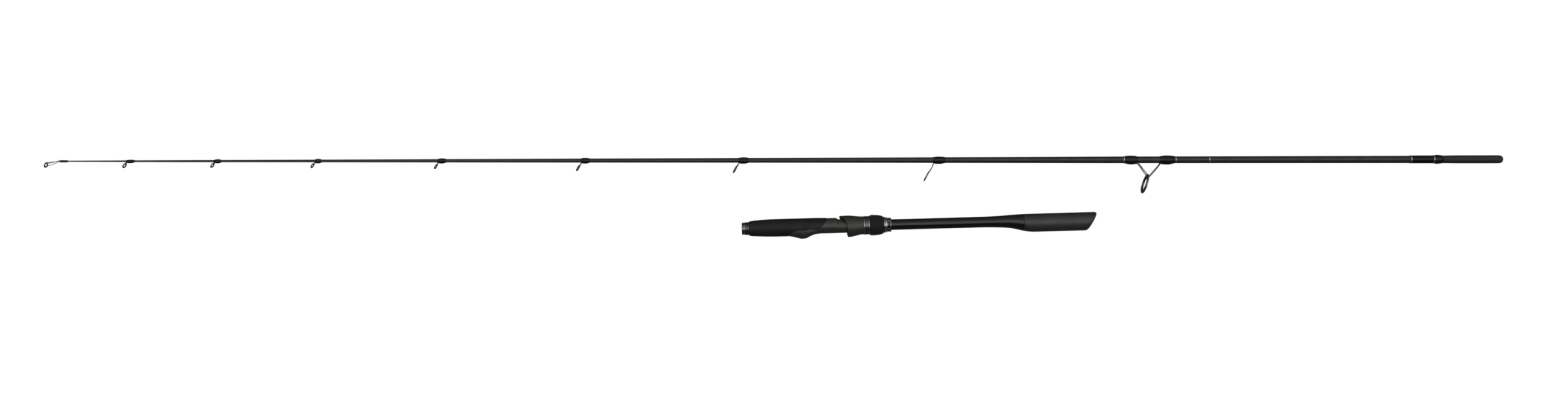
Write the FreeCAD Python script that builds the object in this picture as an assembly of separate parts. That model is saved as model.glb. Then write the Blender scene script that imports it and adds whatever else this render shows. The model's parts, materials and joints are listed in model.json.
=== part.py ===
import FreeCAD, Part
import math
import os

V = FreeCAD.Vector
X_AXIS = V(1, 0, 0)

# A two-piece spinning rod lying apart on a flat surface: a long tip section with its line
# guides, and beside it the short handle with the reel seat. Millimetres and degrees.
# Both sections are modelled about their own axis, X towards the butt, guide side at -Y, and
# are then laid on the floor.

# How the two sections lie
ROLL = 13.5  # the guide side leans up from the floor by this angle
HANDLE_YAW = 1.52  # the handle's butt end is turned towards the tip section
SHOULDER = V(914.8, 50.6, 6.27)  # the tip section's axis at the ferrule shoulder
MOUTH = V(-43.4, -43.0, 14.77)  # the handle's axis at the mouth of its socket

# Blank of the tip section: stations from the shoulder towards the tip, with radii
BLANK_STATIONS = (
    (0.0, 5.08),
    (-225.0, 4.83),
    (-458.0, 4.6),
    (-558.0, 4.25),
    (-724.0, 3.78),
    (-891.0, 3.35),
    (-1223.0, 2.68),
    (-1556.0, 1.87),
    (-1722.0, 1.56),
    (-1822.0, 1.05),
    (-1888.0, 0.84),
)
BLANK_BORE = ((0.0, 3.9), (-458.0, 3.6), (-891.0, 2.4), (-1556.0, 1.0), (-1722.0, 0.7))

# Ferrule
PLUG_LENGTH = 81.5
PLUG_NECK_RADIUS = 5.2
PLUG_RADIUS = 5.5
PLUG_BORE = 3.0
TENON_LENGTH = 55.0
FIT_CLEARANCE = 0.05
SOCKET_RADIUS = PLUG_RADIUS + FIT_CLEARANCE
SOCKET_DEPTH = 95.0

# Trim bands on the thick end of the blank
WRAP_LENGTH = 12.0
WRAP_RADIUS = 6.2
TRIM_WIDTH = 1.2
TRIM_HEIGHT = 0.25
LABEL_START = -43.2
LABEL_RADIUS = 5.4
LABEL_TRIM_RADIUS = 5.55
MID_TRIM_STATION = -319.9

# Line guides: wrap from, wrap to, ring centre station, ring reach from the axis,
# ring outer radius, lean of the ring towards the tip
GUIDES = (
    (-1801.0, -1788.8, -1802.5, 6.3, 3.75, 28.0),
    (-1680.5, -1670.7, -1682.3, 6.2, 3.75, 28.0),
    (-1542.5, -1533.5, -1545.5, 6.8, 3.75, 28.0),
    (-1374.5, -1363.0, -1376.7, 8.3, 3.8, 28.0),
    (-1178.4, -1166.7, -1182.1, 10.7, 4.65, 28.0),
    (-963.0, -948.9, -967.6, 12.9, 5.75, 28.0),
    (-696.9, -680.2, -706.4, 22.9, 7.8, 29.0),
)
STRIPPER_RING = (-409.2, 33.9, 13.75, 17.0)  # station, reach, outer radius, lean
STRIPPER_FRONT_FOOT = (-435.4, -417.5)
STRIPPER_REAR_FOOT = (-386.7, -366.1)
TIP_RING = (-1910.0, 5.2, 4.0, 15.0)
TIP_TUBE = (-1893.0, -1878.0)
TIP_TUBE_RADIUS = 1.3
FOOT_THICKNESS = 0.75

# Handle: stations from the mouth towards the butt
TUBE_RADIUS = 7.28
TUBE_BORE = 6.05
COLLAR_LENGTH = 5.4
GRIP_START = 9.9
GRIP_END = 118.0
SEAT_STEP = (128.0, 131.6)
THREAD_SPAN = (150.0, 191.0)
THREAD_PITCH = 2.0
THREAD_RADIUS = 9.3
SEAT_END = 192.4
SEAT_RADIUS = 10.4
SEAT_OFFSET = 0.95
SEAT_REAR_RADIUS = 9.35
HOOD_FRONT = 130.0
HOOD_CAVITY_END = 156.0
HOOD_END = 165.9
BAND_END = 173.4
NUT_SPAN = (173.8, 192.2)
CHECK_RING = (192.9, 197.8)
KEEPER_RING = (197.8, 203.1)
FLARE_START = 330.0
FLARE_END = 382.7
TUBE_END = 440.0
REAR_GRIP_RADIUS = 12.45
REAR_GRIP_OFFSET = -2.85
HOOD_TRAVEL = 18.0
HOOD_BORE = 9.7

# Front grip: stations and radii, then the edge (station, height) where the seat comes out of it
FOREGRIP_STATIONS = (
    (GRIP_START, 9.4),
    (11.6, 10.1),
    (18.6, 10.85),
    (35.2, 11.75),
    (51.7, 12.05),
    (84.0, 12.05),
    (104.0, 12.0),
    (GRIP_END, 11.6),
)
FOREGRIP_WINDOW = (
    (116.5, 14.0),
    (115.5, 8.0),
    (112.1, 1.8),
    (107.3, -3.2),
    (101.8, -5.4),
    (92.0, -5.8),
    (79.0, -6.5),
    (67.2, -9.8),
    (61.0, -14.0),
)

# Fixed hood: stations and radii about the pockets' line, then the outline (station, height)
# that its mouth is cut along
FIXED_HOOD = (
    (62.0, 8.0),
    (68.3, 8.9),
    (76.5, 10.9),
    (80.7, 12.1),
    (85.0, 12.25),
    (89.0, 12.05),
    (93.1, 10.9),
    (98.0, 9.0),
    (106.0, 5.6),
)
FIXED_HOOD_MOUTH = (
    (78.0, -16.6),
    (80.7, -16.1),
    (84.8, -15.5),
    (89.0, -13.9),
    (93.1, -11.6),
    (98.0, -9.8),
    (107.0, -9.3),
)

# Sliding hood: stations, radii and heights of the centre, then its slanting front edge
HOOD_STATIONS = (
    (HOOD_FRONT, 14.2, -0.6),
    (136.0, 14.5, -0.6),
    (145.4, 14.85, -0.7),
    (150.0, 14.35, -0.6),
    (156.0, 13.3, -0.3),
    (161.0, 12.5, 0.0),
    (HOOD_END, 12.25, 0.0),
)
HOOD_EDGE = (
    (132.4, 18.0),
    (133.1, 13.0),
    (137.5, 9.9),
    (140.6, 5.8),
    (143.0, 0.2),
    (143.5, -7.8),
    (143.7, -12.6),
    (145.4, -18.0),
)

# Reel foot pockets: the roof is an arc about a line below the axis, between two straight sides
POCKET_OFFSET = -4.0
POCKET_HALF_WIDTH = 6.5
FIXED_POCKET = (77.5, 105.0, 10.75)
MOVING_POCKET = (HOOD_FRONT, 150.5, 10.6)

# Bungs inside the two hollow sections
STOP_SPAN = (100.0, 112.0)
STOP_RADIUS = 5.7
BUNG_SPAN = (-90.0, -75.0)
BUNG_RADIUS = 2.8


def rod(start, end, radius, offset=0.0):
    """Plain cylinder along X between two stations."""
    return Part.makeCylinder(radius, end - start, V(start, offset, 0), X_AXIS)


def turned(outline, offset=0.0):
    """Solid of revolution about X from a closed outline of (station, radius) corners."""
    corners = [V(x, r + offset, 0) for x, r in outline]
    face = Part.Face(Part.makePolygon(corners + corners[:1]))
    return face.revolve(V(0, offset, 0), X_AXIS, 360)


def spindle(stations, offset=0.0):
    """Solid of revolution with a smooth curve through its (station, radius) points."""
    points = [V(x, r + offset, 0) for x, r in stations]
    curve = Part.BSplineCurve()
    curve.interpolate(points)
    base = [V(stations[-1][0], offset, 0), V(stations[0][0], offset, 0)]
    sides = Part.makePolygon([points[-1], base[0], base[1], points[0]])
    face = Part.Face(Part.Wire([curve.toShape()] + sides.Edges))
    return face.revolve(V(0, offset, 0), X_AXIS, 360)


def taper(stations):
    """Solid of revolution through a chain of (station, radius) cones."""
    return turned(list(stations) + [(stations[-1][0], 0.0), (stations[0][0], 0.0)])


def radius_at(station):
    """Outer radius of the blank at a station."""
    for (x1, r1), (x0, r0) in zip(BLANK_STATIONS, BLANK_STATIONS[1:]):
        if x0 <= station <= x1:
            return r0 + (r1 - r0) * (station - x0) / (x1 - x0)
    return BLANK_STATIONS[-1][1]


def capsule(start, end, radius):
    """Round bar with rounded ends between two points."""
    length = (end - start).Length
    top = radius * math.sqrt(0.5)
    first = Part.Arc(V(-radius, 0, 0), V(-top, top, 0), V(0, radius, 0)).toShape()
    side = Part.makeLine(V(0, radius, 0), V(length, radius, 0))
    last = Part.Arc(V(length, radius, 0), V(length + top, top, 0), V(length + radius, 0, 0))
    axis = Part.makeLine(V(length + radius, 0, 0), V(-radius, 0, 0))
    face = Part.Face(Part.Wire([first, side, last.toShape(), axis]))
    bar = face.revolve(V(0, 0, 0), X_AXIS, 360)
    bar.Placement = FreeCAD.Placement(start, FreeCAD.Rotation(X_AXIS, end - start))
    return bar


def slab(curve_points, closing_points, half_width):
    """Plate across the rod: a smooth edge through curve_points, closed by straight edges."""
    curve = Part.BSplineCurve()
    curve.interpolate([V(x, y, -half_width) for x, y in curve_points])
    corners = [curve_points[-1]] + list(closing_points) + [curve_points[0]]
    sides = Part.makePolygon([V(x, y, -half_width) for x, y in corners])
    face = Part.Face(Part.Wire([curve.toShape()] + sides.Edges))
    return face.extrude(V(0, 0, 2 * half_width))


def union(shapes):
    return shapes[0].fuse(shapes[1:]).removeSplitter()


# Line guides

def ring_sizes(outer_radius):
    """Wall of the metal hoop, its inner radius, half thickness of the ceramic and its bore."""
    wall = 0.30 + 0.06 * outer_radius
    seat = outer_radius - 1.45 * wall
    half = 1.35 * wall
    return wall, seat, half, seat - 1.8 * half


def ring_directions(lean):
    """The ring's normal, and the direction in its plane that points away from the blank."""
    angle = math.radians(lean)
    normal = V(math.cos(angle), -math.sin(angle), 0)
    outward = V(-math.sin(angle), -math.cos(angle), 0)
    return normal, outward


def plug_along(centre, normal, radius, half_length):
    return Part.makeCylinder(radius, 2 * half_length, centre - normal * half_length, normal)


def hoop(centre, outer_radius, lean):
    """Metal hoop of a guide before its legs are joined and its seat is cut."""
    wall = ring_sizes(outer_radius)[0]
    return Part.makeTorus(outer_radius - wall, wall, centre, ring_directions(lean)[0])


def seat_cutter(centre, outer_radius, lean):
    seat = ring_sizes(outer_radius)[1]
    return plug_along(centre, ring_directions(lean)[0], seat, outer_radius * 0.45)


def ceramic(centre, outer_radius, lean):
    """Rounded ceramic ring with a short straight land in its bore."""
    seat, half, bore = ring_sizes(outer_radius)[1:]
    normal = ring_directions(lean)[0]
    body = Part.makeTorus(bore + 0.85 * half, half, centre, normal)
    body = body.common(plug_along(centre, normal, seat, 2 * half))
    return body.cut(plug_along(centre, normal, bore, 2 * half))


def on_hoop(centre, outer_radius, lean, turn):
    """Point in the hoop's wall, turned from the side nearest the blank."""
    outward = ring_directions(lean)[1]
    reach = outer_radius - ring_sizes(outer_radius)[0]
    angle = math.radians(turn)
    return centre - outward * (reach * math.cos(angle)) + V(0, 0, reach * math.sin(angle))


def foot(start, end, width, blank_solid):
    """Flat guide foot that lies on the blank."""
    radius = radius_at(0.5 * (start + end))
    low = -(radius + FOOT_THICKNESS)
    height = FOOT_THICKNESS + 0.35 * radius
    return Part.makeBox(end - start, height, width, V(start, low, -0.5 * width)).cut(blank_solid)


def wrap(start, end, cover, blank_solid, inner_pieces):
    """Thread wrap under epoxy: a bulge round the blank that stands higher over the foot."""
    lift = 0.35 * cover
    middle = 0.5 * (start + end)
    quarter = 0.3 * (end - start)
    near = radius_at(middle)
    stations = (
        (start, near + 0.35 * cover),
        (middle - quarter, near + 0.88 * cover),
        (middle, near + cover),
        (middle + quarter, near + 0.88 * cover),
        (end, near + 0.35 * cover),
    )
    body = spindle(stations, -lift).cut(blank_solid)
    for piece in inner_pieces:
        body = body.cut(piece)
    return body


def single_foot_guide(start, end, station, reach, outer_radius, lean, blank_solid):
    """Frame, ceramic ring and wrap of a guide with one foot on its butt side."""
    centre = V(station, -reach, 0)
    wall = ring_sizes(outer_radius)[0]
    blank_radius = radius_at(start)
    foot_width = 1.1 + 0.16 * blank_radius
    sole = foot(start - 0.6, end - 1.5, foot_width, blank_solid)
    heel = V(start - 0.4, -(blank_radius + 0.5 * FOOT_THICKNESS), 0)
    legs = []
    for side in (-1, 1):
        root = heel + V(0, 0, side * 0.25 * foot_width)
        end_point = on_hoop(centre, outer_radius, lean, side * 48.0)
        legs.append(capsule(root, end_point, 0.8 * wall))
    frame = union([hoop(centre, outer_radius, lean), sole] + legs)
    frame = frame.cut(seat_cutter(centre, outer_radius, lean)).cut(blank_solid)
    cover = wrap(start, end, 1.25, blank_solid, [frame])
    return frame, ceramic(centre, outer_radius, lean), cover


def add_stripper(nodes, blank_solid):
    """Large first guide with a foot on each side of its ring."""
    station, reach, outer_radius, lean = STRIPPER_RING
    centre = V(station, -reach, 0)
    near = radius_at(station)
    front = STRIPPER_FRONT_FOOT
    rear = STRIPPER_REAR_FOOT
    foot_width = 3.4
    front_sole = foot(front[0] + 1.5, front[1] + 1.0, foot_width, blank_solid)
    rear_sole = foot(rear[0] - 1.0, rear[1] - 1.5, foot_width, blank_solid)
    surface = -(near + 0.5 * FOOT_THICKNESS)
    neck = on_hoop(centre, outer_radius, lean, 0.0)
    bars = []
    for side in (-1, 1):
        root = V(front[1] + 0.6, surface, side * 1.0)
        bars.append(capsule(root, neck + V(0, 0, side * 2.2), 0.75))
    for side in (-1, 1):
        root = V(rear[0] - 0.6, surface, side * 1.1)
        knee = V(rear[0] - 7.5, -0.5 * reach, side * 5.6)
        bars.append(capsule(root, knee, 0.8))
        bars.append(capsule(knee, on_hoop(centre, outer_radius, lean, side * 62.0), 0.8))
    frame = union([hoop(centre, outer_radius, lean), front_sole, rear_sole] + bars)
    frame = frame.cut(seat_cutter(centre, outer_radius, lean)).cut(blank_solid)
    nodes["stripper_frame"] = frame
    nodes["stripper_ring"] = ceramic(centre, outer_radius, lean)
    nodes["stripper_front_wrap"] = wrap(front[0], front[1], 1.5, blank_solid, [frame])
    nodes["stripper_rear_wrap"] = wrap(rear[0], rear[1], 1.6, blank_solid, [frame])
    trims = [trim_band(front[0] - TRIM_WIDTH, blank_solid), trim_band(rear[1], blank_solid)]
    nodes["stripper_trim_rings"] = Part.makeCompound(trims)


def add_tip_top(nodes, blank_solid):
    """Tube over the tip with a small ring held by two side legs and a wire."""
    station, reach, outer_radius, lean = TIP_RING
    centre = V(station, -reach, 0)
    wall = ring_sizes(outer_radius)[0]
    tube = rod(TIP_TUBE[0], TIP_TUBE[1], TIP_TUBE_RADIUS)
    nose = V(TIP_TUBE[0] + 1.0, 0, 0)
    bars = []
    for side in (-1, 1):
        root = nose + V(0, 0, side * 0.3)
        bars.append(capsule(root, on_hoop(centre, outer_radius, lean, side * 24.0), 0.8 * wall))
        root = nose + V(0, -0.35, side * 0.75)
        knee = centre + V(6.2, -0.9, side * 3.0)
        bars.append(capsule(root, knee, 0.62 * wall))
        bars.append(capsule(knee, on_hoop(centre, outer_radius, lean, side * 112.0), 0.62 * wall))
    frame = union([hoop(centre, outer_radius, lean), tube] + bars)
    frame = frame.cut(seat_cutter(centre, outer_radius, lean)).cut(blank_solid)
    nodes["tip_top_frame"] = frame
    nodes["tip_top_ring"] = ceramic(centre, outer_radius, lean)
    start = TIP_TUBE[0] + 1.2
    stations = ((start, 1.35), (start + 2.5, 1.65), (start + 10.0, 1.6), (start + 14.3, 1.1))
    nodes["tip_top_wrap"] = spindle(stations).cut(blank_solid).cut(tube)


def trim_band(start, blank_solid):
    """Thin metal ring round the blank."""
    radius = radius_at(start) + TRIM_HEIGHT
    return rod(start, start + TRIM_WIDTH, radius).cut(blank_solid)


# Tip section

def tip_section():
    nodes = {}
    blank_solid = taper(BLANK_STATIONS)
    bore = taper(BLANK_BORE)
    nodes["blank"] = blank_solid.cut(bore)

    tenon = rod(-TENON_LENGTH, 0, 3.9).common(bore)
    round_start = PLUG_LENGTH - 2.0
    outline = [(0, 0), (0, PLUG_NECK_RADIUS), (20, PLUG_RADIUS), (round_start, PLUG_RADIUS)]
    outline += [(PLUG_LENGTH - 0.6, 5.0), (PLUG_LENGTH, 4.2), (PLUG_LENGTH, 0)]
    plug = union([turned(outline), tenon])
    nodes["ferrule_plug"] = plug.cut(rod(-TENON_LENGTH, PLUG_LENGTH, PLUG_BORE))
    nodes["plug_end_cap"] = rod(PLUG_LENGTH - 8, PLUG_LENGTH - 0.5, PLUG_BORE)
    nodes["blank_bung"] = rod(BUNG_SPAN[0], BUNG_SPAN[1], BUNG_RADIUS)

    start = -WRAP_LENGTH
    stations = ((start, 5.45), (start + 4.0, WRAP_RADIUS), (start + 9.0, 6.05), (0, 5.6))
    nodes["ferrule_wrap"] = spindle(stations).cut(blank_solid)
    label_end = start - TRIM_WIDTH
    nodes["ferrule_trim_ring"] = rod(label_end, start, LABEL_TRIM_RADIUS).cut(blank_solid)
    nodes["label_band"] = rod(LABEL_START, label_end, LABEL_RADIUS).cut(blank_solid)
    trim_start = LABEL_START - TRIM_WIDTH
    label_trim = rod(trim_start, LABEL_START, LABEL_TRIM_RADIUS)
    nodes["label_trim_ring"] = label_trim.cut(blank_solid)
    nodes["mid_trim_ring"] = trim_band(MID_TRIM_STATION, blank_solid)

    add_stripper(nodes, blank_solid)
    for number, guide in enumerate(reversed(GUIDES), 2):
        frame, ring, cover = single_foot_guide(*guide, blank_solid)
        nodes[f"guide_{number}_frame"] = frame
        nodes[f"guide_{number}_ring"] = ring
        nodes[f"guide_{number}_wrap"] = cover
    add_tip_top(nodes, blank_solid)
    return nodes


# Handle

def pocket(span_start, span_end, radius):
    """Space for one end of a reel foot, before the seat's barrel is taken out of it."""
    arch = rod(span_start, span_end, radius, POCKET_OFFSET)
    width = 2 * POCKET_HALF_WIDTH
    box = Part.makeBox(span_end - span_start, 30, width, V(span_start, -30, -POCKET_HALF_WIDTH))
    return arch.common(box)


def foregrip_solid():
    """Front grip, cut away on the guide side where the seat comes out of it."""
    beyond = GRIP_END + 1.0
    closing = ((FOREGRIP_WINDOW[-1][0], -20), (beyond, -20), (beyond, FOREGRIP_WINDOW[0][1]))
    window = slab(FOREGRIP_WINDOW, closing, 20)
    return spindle(FOREGRIP_STATIONS).cut(window).cut(rod(0, GRIP_END, TUBE_RADIUS))


def seat_barrel():
    """The barrel that the reel foot lies on, stepping down where the sliding hood runs."""
    front = rod(62, SEAT_STEP[0], SEAT_RADIUS, SEAT_OFFSET)
    wide_end = (SEAT_STEP[0], SEAT_RADIUS, SEAT_OFFSET)
    step = flare((wide_end, (SEAT_STEP[1], SEAT_REAR_RADIUS, 0.0)), True)
    rear = rod(SEAT_STEP[1], THREAD_SPAN[0], SEAT_REAR_RADIUS)
    core = rod(THREAD_SPAN[0], SEAT_END, THREAD_RADIUS - 1.0)
    lip = rod(THREAD_SPAN[1], SEAT_END, THREAD_RADIUS)
    return union([front, step, rear, core, lip])


def reel_seat_body(foregrip):
    corners = ((FIXED_HOOD_MOUTH[-1][0], -20), (FIXED_HOOD_MOUTH[0][0], -20))
    mouth = slab(FIXED_HOOD_MOUTH, corners, 20)
    hood = spindle(FIXED_HOOD, POCKET_OFFSET).cut(mouth)
    barrel = seat_barrel()
    hood = hood.cut(pocket(*FIXED_POCKET).cut(barrel))
    body = union([barrel, hood])
    return body.cut(foregrip).cut(rod(0, SEAT_END, TUBE_RADIUS)).cut(rod(0, GRIP_START, 30))


def seat_thread():
    """Thread of the seat, as rings one pitch apart."""
    start, end = THREAD_SPAN
    turns = int((end - start) / THREAD_PITCH)
    low = THREAD_RADIUS - 0.6
    outline = [(start, THREAD_RADIUS - 1.0)]
    for turn in range(turns):
        x = start + turn * THREAD_PITCH
        outline += [(x, low), (x + 0.6, THREAD_RADIUS), (x + 1.1, THREAD_RADIUS)]
        outline += [(x + 1.7, low)]
    outline += [(end, low), (end, THREAD_RADIUS - 1.0)]
    return turned(outline)


def movable_hood():
    """Sliding hood: a wide mouth that leans forward at the back, and a pocket for the foot."""
    body = flare(HOOD_STATIONS)
    throat_start = HOOD_CAVITY_END - 4.0
    bell = rod(HOOD_FRONT, throat_start, 12.3)
    throat_outline = [(throat_start, 0), (throat_start, 12.3)]
    throat_outline += [(HOOD_CAVITY_END, HOOD_BORE), (HOOD_CAVITY_END, 0)]
    body = body.cut(bell).cut(turned(throat_outline)).cut(pocket(*MOVING_POCKET))
    air = slab(HOOD_EDGE, ((120, HOOD_EDGE[-1][1]), (120, HOOD_EDGE[0][1])), 20)
    return body.cut(air).cut(rod(HOOD_FRONT, HOOD_END, HOOD_BORE))


def flare(stations, straight=False):
    """Skin through round sections given as (station, radius, offset), smooth or straight."""
    sections = []
    for x, radius, offset in stations:
        sections.append(Part.Wire(Part.makeCircle(radius, V(x, offset, 0), X_AXIS)))
    return Part.makeLoft(sections, True, straight)


def handle_tube():
    """Carbon tube that swells into the rear grip and ends inside it."""
    straight = rod(SOCKET_DEPTH, TUBE_END, TUBE_RADIUS)
    bell = flare(
        (
            (FLARE_START, TUBE_RADIUS, 0.0),
            (349.6, 7.95, 0.0),
            (366.2, 9.1, -0.3),
            (374.5, 10.15, -1.05),
            (FLARE_END, 11.4, -1.95),
        )
    )
    return union([straight, bell]).cut(rod(SOCKET_DEPTH, TUBE_END, TUBE_BORE))


def rear_grip():
    skin = flare(
        (
            (FLARE_END, 11.4, -1.95),
            (391.0, 12.2, -2.7),
            (399.3, REAR_GRIP_RADIUS, REAR_GRIP_OFFSET),
            (440.0, REAR_GRIP_RADIUS, REAR_GRIP_OFFSET),
            (490.0, REAR_GRIP_RADIUS, REAR_GRIP_OFFSET),
        )
    )
    return skin.cut(rod(FLARE_END, TUBE_END, TUBE_RADIUS))


def split_butt(grip):
    """Cut the grip along the slant of its end: the grip itself, and its rounded cap."""
    seam = [(461.5, -17.5), (500.0, -17.5), (500.0, 13.0), (485.0, 13.0), (461.5, -17.5)]
    beyond = Part.Face(Part.makePolygon([V(x, y, -16) for x, y in seam])).extrude(V(0, 0, 32))
    outer_edge = ((466.0, -17.5), (469.2, -14.6), (475.6, -6.5), (481.0, 0.6), (482.6, 4.4))
    outer_edge += ((481.6, 8.2), (478.0, 11.5))
    front = FLARE_END - 5.0
    keep = slab(outer_edge, ((front, 11.5), (front, -17.5)), 16)
    return grip.cut(beyond).common(keep), grip.common(beyond).common(keep)


def handle():
    nodes = {}
    sleeve = rod(0, SOCKET_DEPTH, TUBE_RADIUS)
    nodes["socket_sleeve"] = sleeve.cut(rod(0, SOCKET_DEPTH, SOCKET_RADIUS))
    collar = [(0.2, TUBE_RADIUS), (0.2, 7.8), (0.9, 8.3), (2.0, 8.4), (2.5, 8.0), (3.0, 8.0)]
    collar += [(3.4, 8.5), (4.9, 8.6), (COLLAR_LENGTH, 8.1), (COLLAR_LENGTH, TUBE_RADIUS)]
    nodes["front_collar"] = turned(collar)
    second = [(COLLAR_LENGTH, TUBE_RADIUS), (COLLAR_LENGTH, 8.4), (6.0, 8.8), (7.4, 8.8)]
    second += [(7.8, 8.5), (8.3, 8.8), (GRIP_START, 8.8), (GRIP_START, TUBE_RADIUS)]
    nodes["front_collar_ring"] = turned(second)
    grip = foregrip_solid()
    nodes["foregrip"] = grip
    nodes["reel_seat_body"] = reel_seat_body(grip)
    nodes["seat_thread"] = seat_thread()
    nodes["handle_tube"] = handle_tube()
    check = [(CHECK_RING[0], TUBE_RADIUS), (CHECK_RING[0], 10.5), (CHECK_RING[0] + 1.2, 11.0)]
    check += [(CHECK_RING[1] - 0.4, 10.2), (CHECK_RING[1], 9.3), (CHECK_RING[1], TUBE_RADIUS)]
    nodes["rear_check_ring"] = turned(check)
    keeper = [(KEEPER_RING[0], TUBE_RADIUS), (KEEPER_RING[0], 9.0), (KEEPER_RING[0] + 0.8, 9.5)]
    keeper += [(KEEPER_RING[1] - 0.8, 9.6), (KEEPER_RING[1], 8.9), (KEEPER_RING[1], TUBE_RADIUS)]
    nodes["hook_keeper_ring"] = turned(keeper).cut(hook_hole())
    grip_part, cap = split_butt(rear_grip())
    nodes["rear_grip"] = grip_part
    nodes["butt_cap"] = cap
    nodes["socket_stop"] = rod(STOP_SPAN[0], STOP_SPAN[1], STOP_RADIUS)

    nodes["movable_hood"] = movable_hood()
    band = rod(HOOD_END + 1.0, BAND_END - 1.0, 12.55)
    nodes["hood_band_ring"] = band.cut(rod(HOOD_END, BAND_END, HOOD_BORE))
    trims = []
    for start in (HOOD_END, BAND_END - 1.0):
        trims.append(rod(start, start + 1.0, 12.8).cut(rod(start, start + 1.0, HOOD_BORE)))
    nodes["hood_band_trims"] = Part.makeCompound(trims)

    core_radius = 11.4
    core = rod(NUT_SPAN[0], NUT_SPAN[1], core_radius)
    nodes["locking_nut"] = core.cut(rod(NUT_SPAN[0], NUT_SPAN[1], THREAD_RADIUS + 0.15))
    stations = ((NUT_SPAN[0], 12.9), (176.0, 13.75), (181.0, 13.75), (187.0, 13.3), (NUT_SPAN[1], 12.0))
    nodes["nut_grip"] = spindle(stations).cut(rod(NUT_SPAN[0], NUT_SPAN[1], core_radius))
    return nodes


def hook_hole():
    """Oval hole in the keeper ring that takes a hook's point."""
    middle = 0.5 * (KEEPER_RING[0] + KEEPER_RING[1])
    half_length = 2.6
    hole = union(
        [
            Part.makeCylinder(1.4, 14, V(middle, -half_length, 0)),
            Part.makeCylinder(1.4, 14, V(middle, half_length, 0)),
            Part.makeBox(2.8, 2 * half_length, 14, V(middle - 1.4, -half_length, 0)),
        ]
    )
    hole.rotate(V(0, 0, 0), X_AXIS, 34.0)
    return hole.cut(rod(0, TUBE_END, TUBE_RADIUS))


# Laying the two sections on the floor

def lay(shape, yaw, place):
    laid = shape.copy()
    laid.rotate(V(0, 0, 0), X_AXIS, -ROLL)
    laid.rotate(V(0, 0, 0), V(0, 0, 1), yaw)
    laid.translate(place)
    return laid


def assembly():
    """All nodes where they lie, with the origin below the middle of the whole object."""
    placed = {}
    for name, shape in tip_section().items():
        placed[name] = lay(shape, 0.0, SHOULDER)
    for name, shape in handle().items():
        placed[name] = lay(shape, HANDLE_YAW, MOUTH)
    box = Part.makeCompound(list(placed.values())).optimalBoundingBox(False, False)
    shift = V(-box.Center.x, -box.Center.y, -box.ZMin)
    for shape in placed.values():
        shape.translate(shift)
    return placed, shift


NODES, ORIGIN_SHIFT = assembly()
os.makedirs("parts", exist_ok=True)
for node_name, node_shape in NODES.items():
    node_shape.exportStep(f"parts/{node_name}.step")
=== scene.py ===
import json
import math

import bmesh
import bpy
import numpy as np
from mathutils import Matrix, Vector


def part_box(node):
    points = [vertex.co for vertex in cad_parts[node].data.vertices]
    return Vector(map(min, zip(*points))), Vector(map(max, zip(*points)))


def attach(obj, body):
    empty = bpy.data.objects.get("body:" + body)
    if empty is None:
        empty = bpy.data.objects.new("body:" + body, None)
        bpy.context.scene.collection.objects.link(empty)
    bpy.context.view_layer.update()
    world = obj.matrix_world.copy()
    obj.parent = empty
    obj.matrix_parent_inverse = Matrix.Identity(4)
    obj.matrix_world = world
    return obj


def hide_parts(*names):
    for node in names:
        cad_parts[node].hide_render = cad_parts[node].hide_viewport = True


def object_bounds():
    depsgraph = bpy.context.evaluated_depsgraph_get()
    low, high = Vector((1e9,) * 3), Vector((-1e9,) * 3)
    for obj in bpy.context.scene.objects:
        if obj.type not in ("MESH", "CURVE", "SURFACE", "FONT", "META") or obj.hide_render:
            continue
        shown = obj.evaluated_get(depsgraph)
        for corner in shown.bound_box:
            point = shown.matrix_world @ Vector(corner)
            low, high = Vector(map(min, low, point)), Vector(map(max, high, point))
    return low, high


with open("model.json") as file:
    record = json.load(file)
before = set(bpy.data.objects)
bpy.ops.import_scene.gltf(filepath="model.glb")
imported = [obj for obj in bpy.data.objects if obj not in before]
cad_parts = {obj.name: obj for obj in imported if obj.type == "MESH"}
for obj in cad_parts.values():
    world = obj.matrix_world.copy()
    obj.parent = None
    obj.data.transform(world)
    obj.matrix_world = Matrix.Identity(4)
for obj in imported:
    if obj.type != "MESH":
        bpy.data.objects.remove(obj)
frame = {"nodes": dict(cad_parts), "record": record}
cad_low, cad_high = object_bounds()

# A two-piece spinning rod lying apart on a pale floor. Each section is built about its own
# axis in millimetres: x runs towards the butt, -y is the side of the guides and the reel.
# The two axes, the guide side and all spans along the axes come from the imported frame.

MM = 0.001
MOUNTS = {m["name"]: m for m in frame["record"]["mounts"]}


# ---- local frames

class Section:
    """One half of the rod: its axis frame, and measures of CAD nodes in that frame."""

    def __init__(self, origin, axis, guide_point):
        x = Vector(axis).normalized()
        side = Vector(guide_point) - origin
        out = (side - x * side.dot(x)).normalized()
        y = -out
        z = x.cross(y)
        turn = Matrix((x, y, z)).transposed()
        self.matrix = Matrix.Translation(origin) @ turn.to_4x4()
        self.inverse = self.matrix.inverted()

    def local(self, point):
        return np.array(self.inverse @ Vector(point)) / MM

    def direction(self, vector):
        return np.array(self.inverse.to_3x3() @ Vector(vector))

    def cloud(self, node):
        mesh = frame["nodes"][node].data
        points = np.empty(len(mesh.vertices) * 3)
        mesh.vertices.foreach_get("co", points)
        points = points.reshape(-1, 3)
        turn = np.array(self.inverse.to_3x3())
        shift = np.array(self.inverse.translation)
        return (points @ turn.T + shift) / MM

    def span(self, node):
        """First station, last station and largest radius of a node, in millimetres."""
        points = self.cloud(node)
        radius = np.hypot(points[:, 1], points[:, 2]).max()
        return points[:, 0].min(), points[:, 0].max(), radius

    def place(self, points):
        turn = np.array(self.matrix.to_3x3())
        shift = np.array(self.matrix.translation)
        return (points * MM) @ turn.T + shift


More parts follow.
